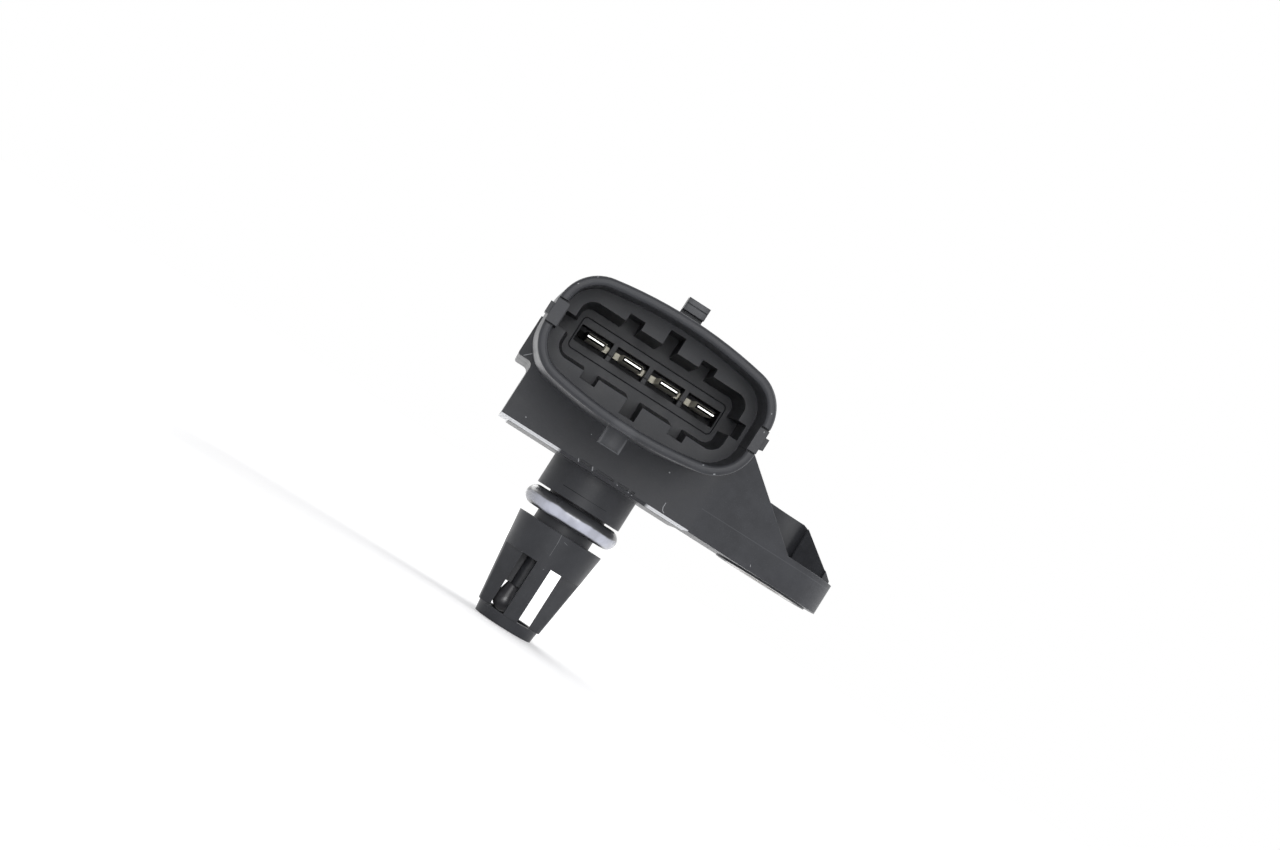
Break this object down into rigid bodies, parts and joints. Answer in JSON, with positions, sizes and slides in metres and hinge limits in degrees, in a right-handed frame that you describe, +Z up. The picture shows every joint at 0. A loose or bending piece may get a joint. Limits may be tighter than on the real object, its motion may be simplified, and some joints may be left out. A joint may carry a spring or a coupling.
{
  "type": "manifold absolute pressure sensor",
  "caption": "Intake manifold pressure and air temperature sensor with a ringed spigot, slotted probe cage, oval plug socket and side fixing flange.",
  "frame": {"origin": "on the axis of the spigot, at the seat where the spigot meets the underside of the port cover", "axes": "+Z up, the spigot points down -Z, the plug socket looks toward -Y, the fixing flange lies toward +X"},
  "size_m": [0.05, 0.0441, 0.0444],
  "materials": {
    "body_plastic": "glass-filled moulding, fine matt grain",
    "cover_plastic": "glass-filled moulding, fine matt grain",
    "ring_rubber": "smooth, lightly greased",
    "tin_plate": "bright tin plate",
    "bush_metal": "rolled steel, dull",
    "bead_glass": "black resin, glossy",
    "lead_wire": "drawn wire",
    "sleeve_plastic": "smooth",
    "board_ceramic": "white ceramic, satin",
    "cell_glass": "ground glass",
    "die_silicon": "polished silicon",
    "frame_plastic": "smooth",
    "gel": "clear soft gel",
    "wire_metal": "fine drawn wire",
    "chip_resin": "moulded resin",
    "chip_ceramic": "fired ceramic",
    "sealant": "cured silicone"
  },
  "bodies": {
    "root": {"housing": "body_plastic", "port_cover": "cover_plastic", "o_ring": "ring_rubber", "terminal_1": "tin_plate", "terminal_2": "tin_plate", "terminal_3": "tin_plate", "terminal_4": "tin_plate", "terminal_carrier": "body_plastic", "mounting_bush": "bush_metal", "thermistor_bead": "bead_glass", "thermistor_lead_1": "lead_wire", "thermistor_lead_2": "lead_wire", "lead_sleeve_1": "sleeve_plastic", "lead_sleeve_2": "sleeve_plastic", "substrate": "board_ceramic", "glass_pedestal": "cell_glass", "pressure_die": "die_silicon", "gel_frame": "frame_plastic", "gel_fill": "gel", "bond_wires": "wire_metal", "processing_chip": "chip_resin", "chip_capacitors": "chip_ceramic", "cover_sealant": "sealant"}
  },
  "joints": []
}
